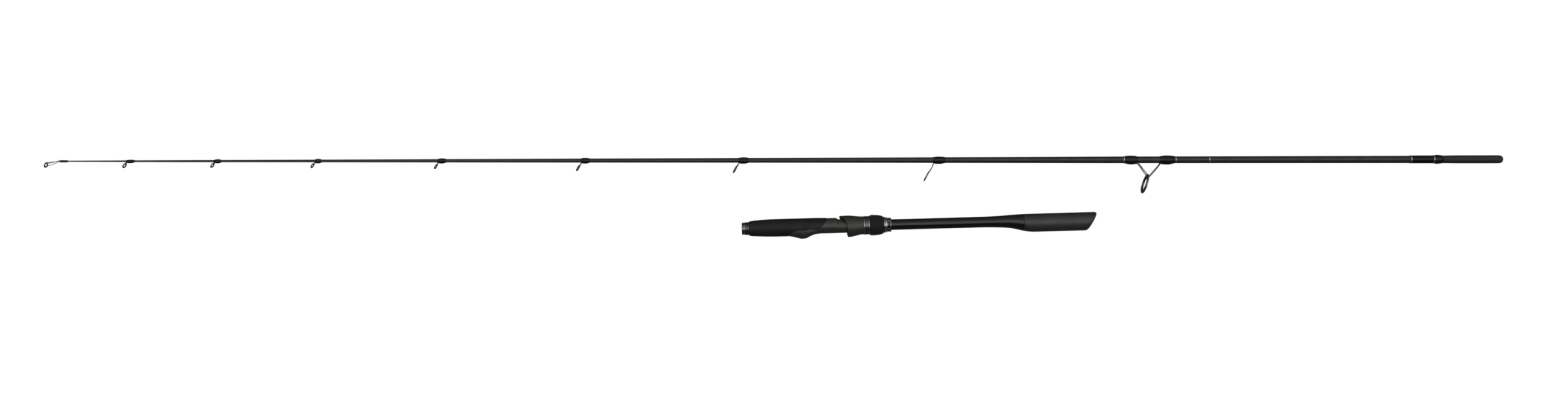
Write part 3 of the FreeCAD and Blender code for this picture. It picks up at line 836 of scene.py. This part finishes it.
def make_front():
    first, last = handle.span("socket_sleeve")[:2]
    outline = [(first, SLEEVE_BORE), (first, TUBE), (last, TUBE), (last, SLEEVE_BORE)]
    piece = turned("socket_skin", handle, rounded(outline, 0.35, closed=True), loop=True)
    finish(sharpen(piece), "handle", "carbon_tube", ["socket_sleeve"])

    first, last, wide = handle.span("front_collar")
    outline = [(first, TUBE - 0.1), (first, wide - 0.75), (first + 0.5, wide - 0.25)]
    outline += [(first + 1.9, wide - 0.2), (first + 2.25, wide - 0.75), (first + 2.8, wide - 0.75)]
    outline += [(first + 3.15, wide - 0.1), (last - 0.7, wide), (last, wide - 0.4)]
    outline += [(last, TUBE - 0.1)]
    piece = turned("front_collar_skin", handle, rounded(outline, 0.22, closed=True), loop=True)
    finish(piece, "handle", "polished_metal", ["front_collar"], "gunmetal")

    first, last, wide = handle.span("front_collar_ring")
    outline = [(first, TUBE - 0.1), (first, wide - 0.3), (first + 0.5, wide)]
    outline += [(first + 1.9, wide), (first + 2.3, wide - 0.4), (first + 2.7, wide - 0.4)]
    outline += [(first + 3.0, wide), (last, wide), (last, TUBE - 0.1)]
    piece = turned("front_ring_skin", handle, rounded(outline, 0.22, closed=True), loop=True)
    finish(piece, "handle", "dark_metal", ["front_collar_ring"])


# Outline of the front grip, and the edge where the seat comes out of it (station, height)
GRIP_CURVE = smooth(
    (
        (9.9, 9.3), (11.4, 10.05), (18.6, 10.85), (35.2, 11.75), (51.7, 12.05),
        (84.0, 12.05), (104.0, 12.0), (117.0, 11.6),
    ),
    20,
)
WINDOW = smooth(
    (
        (57.0, -16.0), (61.0, -13.5), (67.2, -9.8), (79.0, -6.5), (92.0, -5.8),
        (101.8, -5.4), (107.3, -3.2), (112.1, 1.8), (115.3, 7.5), (116.2, 14.0),
    ),
    20,
)


def grip_radius(station):
    return np.interp(station, GRIP_CURVE[:, 0], GRIP_CURVE[:, 1])


def window_station(height):
    return np.interp(height, WINDOW[:, 1], WINDOW[:, 0])


def window_edge():
    """Station of the front grip's rear edge, for each angle round the handle."""
    station = np.full(TURN.shape, 90.0)
    for _ in range(12):
        station = window_station(-grip_radius(station) * np.cos(TURN))
    return station


def make_foregrip():
    global TURN
    kept = TURN
    TURN = np.linspace(0.0, 2 * math.pi, 240, endpoint=False)
    edge = window_edge()
    start = handle.span("foregrip")[0]
    rings = []
    count = 260
    slant = 52.0
    pitch = 1.7
    starts = 27
    for i in range(count):
        t = i / (count - 1)
        x = start + t * (edge - start)
        radius = grip_radius(x)
        phase = x * math.sin(math.radians(slant)) / pitch - starts * TURN / (2 * math.pi)
        groove = np.clip(np.cos(2 * math.pi * phase), 0.55, 1.0) - 0.55
        fade = smoothstep(x, start + 3.0, start + 10.0) * smoothstep(edge - x, 1.5, 5.0)
        fade = fade * smoothstep(np.cos(TURN), -0.25, 0.2)
        lip = 0.45 * (1 - np.sqrt(np.clip((edge - x) / 0.9, 0.0, 1.0)))
        rings.append(ring(x, radius - 0.3 * groove * fade - lip))
    rings.append(ring(edge - 0.1, grip_radius(edge) - 1.0))
    rings.append(ring(edge - 0.3, TUBE + 0.2))
    rings.append(ring(start, TUBE + 0.2))
    piece = sharpen(skin("foregrip_skin", handle, rings, loop=True), 50.0)
    finish(piece, "handle", "textured_grip", ["foregrip"])
    TURN = kept


# ---- reel seat

FLAT = -9.4  # height of the face that the reel's foot lies on
HOOD_LINE = -4.0  # height of the line that both pockets' roofs are round about
HOOD_BORE = 9.75
SEAT_STEP = (128.0, 131.6)
THREAD = handle.span("seat_thread")


def about(line, radius):
    """Distance from the axis to a circle about a lower line, for each angle."""
    return -line * np.cos(TURN) + np.sqrt(np.maximum(radius**2 - (line * np.sin(TURN)) ** 2, 0.01))


def barrel(station):
    """The barrel, flattened on the reel's side; it steps down where the hood slides over."""
    step = smoothstep(station, *SEAT_STEP)
    wide = about(0.95 * (1 - step), 10.4 - 1.05 * step)
    facing = np.cos(TURN)
    flat = np.where(facing > 0.5, -FLAT / np.maximum(facing, 0.5), 99.0)
    sharp = 6.0
    return -np.log(np.exp(-sharp * wide) + np.exp(-sharp * flat)) / sharp


HOOD_CURVE = smooth(
    (
        (56.0, 6.0), (62.0, 8.0), (68.3, 8.9), (76.5, 10.9), (80.7, 12.1), (85.0, 12.25),
        (89.0, 12.05), (93.1, 10.9), (98.0, 9.0), (106.0, 5.6), (112.0, 3.0),
    ),
    14,
)
# Outline its mouth is cut along (station, height)
HOOD_MOUTH = smooth(
    (
        (56.0, -22.0), (72.0, -18.6), (78.0, -16.6), (80.7, -16.1), (84.8, -15.5),
        (89.0, -13.9), (93.1, -11.6), (98.0, -9.8), (107.0, -9.3), (120.0, -9.3),
    ),
    14,
)


def hood_bulge(station):
    radius = np.interp(station, HOOD_CURVE[:, 0], HOOD_CURVE[:, 1])
    bulge = about(HOOD_LINE, radius)
    facing = np.cos(TURN)
    mouth = np.interp(station, HOOD_MOUTH[:, 0], HOOD_MOUTH[:, 1])
    limit = np.where(facing > 0.3, -mouth / np.maximum(facing, 0.3), 99.0)
    sharp = 3.0
    return -np.log(np.exp(-sharp * bulge) + np.exp(-sharp * limit)) / sharp


def make_seat():
    edge = window_edge()
    rings = [ring(edge - 1.2, TUBE + 0.15), ring(edge - 1.2, barrel(edge) - 0.8)]
    end = THREAD[0]
    count = 150
    for i in range(count):
        t = i / (count - 1)
        x = edge - 1.2 + t * (end - edge + 1.2)
        plain = barrel(x)
        bulge = hood_bulge(x)
        soft = 4.0
        radius = np.log(np.exp(soft * plain) + np.exp(soft * bulge)) / soft
        seam = 0.12 * np.exp(-(((x - SEAT_STEP[1] - 0.6) / 0.18) ** 2))
        limit = grip_radius(x) - 0.12 + 8.0 * smoothstep(x - edge, 0.6, 14.0)
        rings.append(ring(x, np.minimum(radius, limit) - seam))
    core = THREAD[2] - 1.0
    seat_end = handle.span("reel_seat_body")[1]
    rings += [ring(end, core), ring(THREAD[1], core), ring(THREAD[1], THREAD[2])]
    rings += [ring(seat_end - 0.2, THREAD[2]), ring(seat_end, THREAD[2] - 0.2)]
    rings.append(ring(seat_end, TUBE + 0.15))
    piece = skin("seat_skin", handle, rings, loop=True)
    cut(piece, pocket_cutter(78.5, 112.0, 10.6))
    finish(piece, "handle", "seat_plastic", ["reel_seat_body"])


def pocket_cutter(start, end, radius):
    """Space for one end of a reel's foot: flat floor, two sides and an arched roof."""
    half = 6.5
    floor = FLAT - 0.06
    side = math.asin(half / radius)
    outline = [(floor, -half)]
    for a in np.linspace(-side, side, 24):
        outline.append((HOOD_LINE - radius * math.cos(a), radius * math.sin(a)))
    outline.append((floor, half))
    front = np.array([(start, y, z) for y, z in outline])
    inner = front * (1, 0.985, 0.9) + (0, -0.15, 0)
    back = front + (end - start, 0, 0)
    return skin("pocket", handle, [inner, front + (0.8, 0, 0), back])


def make_thread():
    """Helical thread of the seat, shown as the hood moves forward."""
    start, end, crest = THREAD
    pitch = 2.0
    rings = [ring(start, crest - 1.0)]
    for x in np.arange(start, end, 0.2):
        phase = np.mod((x + pitch * TURN / (2 * math.pi)) / pitch, 1.0)
        tooth = smoothstep(0.5 - np.abs(phase - 0.5), 0.12, 0.34)
        fade = smoothstep(x, start, start + 1.5) * smoothstep(end - x, 0.0, 1.5)
        rings.append(ring(x, crest - 0.6 + 0.6 * tooth * fade))
    rings.append(ring(end, crest - 1.0))
    piece = skin("thread_skin", handle, rings, loop=True)
    finish(piece, "handle", "seat_plastic", ["seat_thread"])


# ---- sliding hood and nut

FRONT_EDGE = smooth(
    (
        (132.4, 18.0), (133.2, 13.8), (137.4, 9.9), (140.6, 5.4), (143.0, -1.0),
        (143.5, -8.0), (143.8, -12.6), (145.2, -16.5), (147.0, -19.0),
    ),
    14,
)
HOOD_OUTSIDE = smooth(
    (
        (126.0, 14.0, -0.6), (130.0, 14.2, -0.6), (136.0, 14.5, -0.6),
        (142.0, 14.72, -0.65), (145.4, 14.8, -0.7), (150.0, 14.35, -0.6),
        (156.0, 13.3, -0.3), (161.0, 12.5, 0.0), (165.9, 12.2, 0.0),
    ),
    14,
)


def front_edge(outside):
    """Station of the hood's front edge at each angle."""
    heights = -outside * np.cos(TURN)
    order = np.argsort(FRONT_EDGE[:, 1])
    return np.interp(heights, FRONT_EDGE[order, 1], FRONT_EDGE[order, 0])


def hood_outside(station):
    radius = np.interp(station, HOOD_OUTSIDE[:, 0], HOOD_OUTSIDE[:, 1])
    line = np.interp(station, HOOD_OUTSIDE[:, 0], HOOD_OUTSIDE[:, 2])
    return about(line, radius)


def hood_inside():
    """Bell round the barrel, deeper where the reel's foot goes in."""
    angle = np.minimum(TURN, 2 * math.pi - TURN)
    pocket = smoothstep(angle, math.radians(31.0), math.radians(27.0))
    return 12.3 + pocket * (about(HOOD_LINE, 10.6) - 12.3)


def make_hood():
    global TURN
    kept = TURN
    TURN = np.linspace(0.0, 2 * math.pi, 192, endpoint=False)
    end = handle.span("movable_hood")[1]
    edge = front_edge(hood_outside(143.0))
    inside = hood_inside()
    rings = []
    for dx, drop in ((0.0, 0.55), (0.03, 0.28), (0.16, 0.1), (0.4, 0.0)):
        rings.append(ring(edge + dx, hood_outside(edge) - drop))
    count = 60
    seam_at = 160.9
    for i in range(1, count):
        t = i / (count - 1)
        x = edge + 0.4 + t * (end - 0.25 - edge - 0.4)
        seam = 0.14 * np.exp(-(((x - seam_at) / 0.2) ** 2))
        rings.append(ring(x, hood_outside(x) - seam))
    rings.append(ring(end, hood_outside(end) - 0.25))
    rings += [ring(end, HOOD_BORE + 0.2), ring(end - 0.2, HOOD_BORE), ring(156.0, HOOD_BORE)]
    rings += [ring(152.5, np.minimum(inside, 12.3)), ring(150.5, inside)]
    rings += [ring(edge + 0.5, inside), ring(edge + 0.12, inside + 0.12)]
    rings.append(ring(edge, inside + 0.4))
    piece = sharpen(skin("hood_skin", handle, rings, loop=True), 45.0)
    finish(piece, "hood", "seat_plastic", ["movable_hood"])
    TURN = kept


def make_hood_band():
    first, last, radius = handle.span("hood_band_ring")
    outline = [(first, HOOD_BORE), (first, radius), (last, radius), (last, HOOD_BORE)]
    rings = []
    for x, r in rounded(outline, 0.2, closed=True):
        panels = 0.1 * smoothstep(np.cos(6 * TURN), 0.8, 0.95) * (r > radius - 0.5)
        rings.append(ring(x, r - panels))
    piece = sharpen(skin("hood_band_skin", handle, rings, loop=True), 50.0)
    finish(piece, "hood", "dark_metal", ["hood_band_ring"])
    names = ("hood_trim_front", "hood_trim_rear")
    for name, (first, last, radius) in zip(names, two_rings(handle, "hood_band_trims")):
        outline = [(first, HOOD_BORE), (first, radius), (last, radius), (last, HOOD_BORE)]
        piece = turned(name, handle, rounded(outline, 0.3, closed=True), loop=True)
        finish(piece, "hood", "silver_trim", ["hood_band_trims"], "polished_metal")


def make_nut():
    first, last, core = handle.span("locking_nut")
    bore = THREAD[2] + 0.15
    outline = [(first, bore), (first, core), (last, core), (last, bore)]
    piece = turned("nut_core", handle, rounded(outline, 0.35, closed=True), loop=True)
    finish(sharpen(piece), "nut", "black_plastic", ["locking_nut"])
    wide = handle.span("nut_grip")[2]
    curve = [(first + 0.1, wide - 1.2), (first + 0.7, wide - 0.45), (first + 2.6, wide)]
    curve += [(first + 7.0, wide), (first + 13.0, wide - 0.5), (last - 1.6, wide - 1.4)]
    curve += [(last - 0.4, wide - 1.9), (last, wide - 2.3)]
    outline = [(first + 0.1, core), *smooth(curve, 6), (last, core)]
    piece = turned("nut_grip_skin", handle, outline, loop=True)
    finish(sharpen(piece, 60.0), "nut", "soft_touch", ["nut_grip"])


# ---- rear of the handle

def make_rear_rings():
    first, last, wide = handle.span("rear_check_ring")
    outline = [(first, TUBE), (first, wide - 0.55), (first + 0.3, wide), (first + 1.5, wide)]
    outline += [(first + 1.9, wide - 0.75), (first + 3.3, wide - 1.0), (last - 0.4, wide - 0.75)]
    outline += [(last, wide - 1.5), (last, TUBE)]
    piece = turned("check_ring_skin", handle, rounded(outline, 0.3, closed=True), loop=True)
    finish(piece, "handle", "polished_metal", ["rear_check_ring"])

    first, last, wide = handle.span("hook_keeper_ring")
    outline = [(first, TUBE), (first, wide - 0.7), (first + 0.8, wide - 0.1)]
    outline += [(last - 1.5, wide - 0.1), (last - 1.1, wide), (last - 0.3, wide)]
    outline += [(last, wide - 0.5), (last, TUBE)]
    piece = turned("keeper_ring_skin", handle, rounded(outline, 0.3, closed=True), loop=True)
    angles = np.linspace(0, 2 * math.pi, 40, endpoint=False)
    middle = (first + last) / 2 - 0.35
    oval = np.stack([middle + 1.6 * np.cos(angles), 4.9 * np.sin(angles), 0 * angles], -1)
    lean = math.radians(16.0)
    spin = np.array(((1, 0, 0), (0, math.cos(lean), -math.sin(lean)), (0, math.sin(lean), math.cos(lean))))
    rings = [(oval + (0, 0, depth)) @ spin.T for depth in (TUBE - 1.5, wide + 3.0)]
    cut(piece, skin("keeper_hole", handle, rings))
    finish(piece, "handle", "polished_metal", ["hook_keeper_ring"], "gunmetal")


FLARE = smooth(
    (
        (300.0, 7.28, 0.0), (330.0, 7.3, 0.0), (349.6, 7.95, 0.0), (357.9, 8.4, -0.05),
        (366.2, 9.1, -0.35), (374.5, 10.2, -1.1), (382.7, 11.4, -1.95),
        (391.0, 12.2, -2.65), (399.3, 12.45, -2.85), (420.0, 12.45, -2.85),
        (490.0, 12.45, -2.85),
    ),
    14,
)


def swell(station):
    """Ring of the handle's skin at a station, which swells off centre into the rear grip."""
    radius = np.interp(station, FLARE[:, 0], FLARE[:, 1])
    offset = np.interp(station, FLARE[:, 0], FLARE[:, 2])
    return ring(station, radius, offset)


GRIP_SPAN = handle.span("rear_grip")
BUTT_END = handle.span("butt_cap")[1]
SLANT = 0.62
STRAIGHT_END = 455.0
CAP_DEPTH = 6.0
SEAM_GAP = 0.12


def end_plane(height):
    """Station of the slanted butt end at a height."""
    return BUTT_END - 0.4 - SLANT * (4.6 - height)


def make_tube():
    seam = GRIP_SPAN[0]
    rings = []
    for x in np.concatenate([np.linspace(95.0, 325.0, 24), np.linspace(330.0, seam - 0.2, 50)]):
        rings.append(swell(max(x, 300.0)) * (0, 1, 1) + (x, 0, 0))
    centre = np.interp(seam, FLARE[:, 0], FLARE[:, 2])
    inner = np.interp(seam, FLARE[:, 0], FLARE[:, 1]) - 0.4
    rings.append(ring(seam, inner, centre))
    finish(skin("tube_skin", handle, rings), "handle", "carbon_tube", ["handle_tube"])


def make_rear_grip():
    seam = GRIP_SPAN[0]
    rings = [ring(seam - 0.3, 9.0, -1.5)]
    first = swell(seam + 0.25)
    rings.append(first * (1, 0.985, 0.985) - (0.2, 0, 0))
    for x in np.linspace(seam + 0.3, STRAIGHT_END, 40):
        rings.append(swell(x))
    last = swell(STRAIGHT_END)
    target = end_plane(last[:, 1]) - CAP_DEPTH - SEAM_GAP
    for t in np.linspace(0.2, 1.0, 8):
        moved = last.copy()
        moved[:, 0] = STRAIGHT_END + t * (target - STRAIGHT_END)
        rings.append(moved)
    shrink = last.copy()
    middle = last.mean(0)
    shrink[:, 1:] = middle[1:] + (last[:, 1:] - middle[1:]) * 0.975
    shrink[:, 0] = end_plane(shrink[:, 1]) - CAP_DEPTH
    rings.append(shrink)
    piece = sharpen(skin("rear_grip_skin", handle, rings), 45.0)
    finish(piece, "handle", "matte_grip", ["rear_grip"])

    rings = [shrink.copy()]
    full = last.copy()
    full[:, 0] = end_plane(full[:, 1]) - CAP_DEPTH + SEAM_GAP
    rings.append(full)
    side = full[:, 1:] - middle[1:]
    round_size = 4.2 + 0.9 * np.cos(TURN + math.pi)
    for a in np.linspace(0.0, math.pi / 2, 12):
        pull = 1 - round_size * (1 - math.cos(a)) / 12.45
        edge = full.copy()
        edge[:, 1:] = middle[1:] + side * pull[:, None]
        edge[:, 0] = end_plane(edge[:, 1]) - round_size * (1 - math.sin(a))
        rings.append(edge)
    for scale in (0.6, 0.3):
        face = rings[-1].copy()
        face[:, 1:] = middle[1:] + (face[:, 1:] - middle[1:]) * scale
        face[:, 0] = end_plane(face[:, 1]) + 0.25 * (1 - scale)
        rings.append(face)
    piece = sharpen(skin("butt_cap_skin", handle, rings), 50.0)
    finish(piece, "handle", "matte_grip", ["butt_cap"])


def make_hidden():
    """The two bungs that ride inside the hollow sections keep their CAD shape."""
    for node in ("socket_stop", "blank_bung"):
        mesh = frame["nodes"][node].data
        mesh.materials.clear()
        mesh.materials.append(FINISH["foam"])


# ---- stage

ROOM_HALF = 28.0
ROOM_TOP = 16.0
FLOOR_GAP = 0.0002


def make_stage():
    """Evenly lit white floor and backdrop, which put no light of their own on the rod."""
    centre = (cad_low + cad_high) / 2
    ground = cad_low.z - FLOOR_GAP
    corners = [(-1, -1), (1, -1), (1, 1), (-1, 1)]
    points = [(centre.x + x * ROOM_HALF, centre.y + y * ROOM_HALF, ground) for x, y in corners]
    floor = mesh_of("floor", points, [(0, 1, 2, 3)])
    wall_points = []
    for z in (ground, ROOM_TOP):
        for a in np.linspace(0, 2 * math.pi, 64, endpoint=False):
            wall_points.append((ROOM_HALF * math.cos(a), ROOM_HALF * math.sin(a), z))
    wall = mesh_of("backdrop", wall_points, skin_faces(2, 64, False))
    look = Finish("lit_white", (0.35, 0.35, 0.35), 0.9)
    look.set("Emission Color", (1.0, 1.0, 1.0, 1.0))
    look.set("Emission Strength", 0.93)
    for staged in (floor, wall):
        staged.data.materials.append(look.material)
        staged.visible_diffuse = False
        staged.visible_glossy = False
        staged.visible_shadow = False


# Soft light of the room round the rods' length: degrees from straight up towards +y, and
# how bright it is there
ROOM_LIGHT = (
    (-180.0, 0.06), (-90.0, 0.08), (-30.0, 0.05), (0.0, 0.1), (25.0, 0.3), (36.0, 0.6),
    (51.0, 0.37), (67.0, 0.27), (90.0, 0.16), (110.0, 0.06), (180.0, 0.06),
)


SOFTBOX_PLACE = (0.0, 0.07, 2.0)
SOFTBOX_SIZE = (5.0, 1.6)
SOFTBOX_POWER = 27.0


def make_lights():
    """A dim room that is brighter on one side, and one wide soft light overhead."""
    world = bpy.context.scene.world or bpy.data.worlds.new("studio")
    bpy.context.scene.world = world
    world.use_nodes = True
    nodes, links = world.node_tree.nodes, world.node_tree.links
    split = nodes.new("ShaderNodeSeparateXYZ")
    links.new(nodes.new("ShaderNodeTexCoord").outputs["Generated"], split.inputs[0])
    turn = nodes.new("ShaderNodeMath")
    turn.operation = "ARCTAN2"
    links.new(split.outputs[1], turn.inputs[0])
    links.new(split.outputs[2], turn.inputs[1])
    share = nodes.new("ShaderNodeMapRange")
    share.inputs["From Min"].default_value = -math.pi
    share.inputs["From Max"].default_value = math.pi
    links.new(turn.outputs[0], share.inputs["Value"])
    ramp = nodes.new("ShaderNodeValToRGB")
    steps = ramp.color_ramp.elements
    while len(steps) < len(ROOM_LIGHT):
        steps.new(0.5)
    for step, (angle, level) in zip(steps, ROOM_LIGHT):
        step.position = (angle + 180.0) / 360.0
        step.color = (level, level, level, 1.0)
    links.new(share.outputs["Result"], ramp.inputs["Fac"])
    links.new(ramp.outputs["Color"], nodes["Background"].inputs["Color"])
    data = bpy.data.lights.new("softbox", "AREA")
    data.shape = "RECTANGLE"
    data.size, data.size_y = SOFTBOX_SIZE
    data.energy = SOFTBOX_POWER
    lamp = bpy.data.objects.new("softbox", data)
    lamp.location = SOFTBOX_PLACE
    lamp.visible_camera = False
    bpy.context.scene.collection.objects.link(lamp)
    bpy.context.scene.view_settings.view_transform = "Standard"


CAMERA_LENS = 26.5
CAMERA_HEIGHT = 1.586
CAMERA_ASIDE = (0.0142, -0.0072)
CAMERA_TURN = -0.08


def make_camera():
    """Straight down from close to the middle of the object, as the catalogue view is taken."""
    centre = (cad_low + cad_high) / 2
    data = bpy.data.cameras.new("camera")
    data.sensor_width = 36.0
    data.lens = CAMERA_LENS
    camera = bpy.data.objects.new("camera", data)
    aside, above = CAMERA_ASIDE
    camera.location = (centre.x + aside, centre.y + above, cad_low.z + CAMERA_HEIGHT)
    camera.rotation_euler = (0.0, 0.0, math.radians(CAMERA_TURN))
    bpy.context.scene.collection.objects.link(camera)
    bpy.context.scene.camera = camera


# ---- build

make_blank()
make_ferrule()
make_ferrule_wrap()
make_label_band()
make_stripper()
for guide_number in range(2, 9):
    make_single_foot(guide_number)
make_tip_top()
make_front()
make_foregrip()
make_seat()
make_thread()
make_hood()
make_hood_band()
make_nut()
make_rear_rings()
make_tube()
make_rear_grip()
make_hidden()
make_stage()
make_lights()
make_camera()
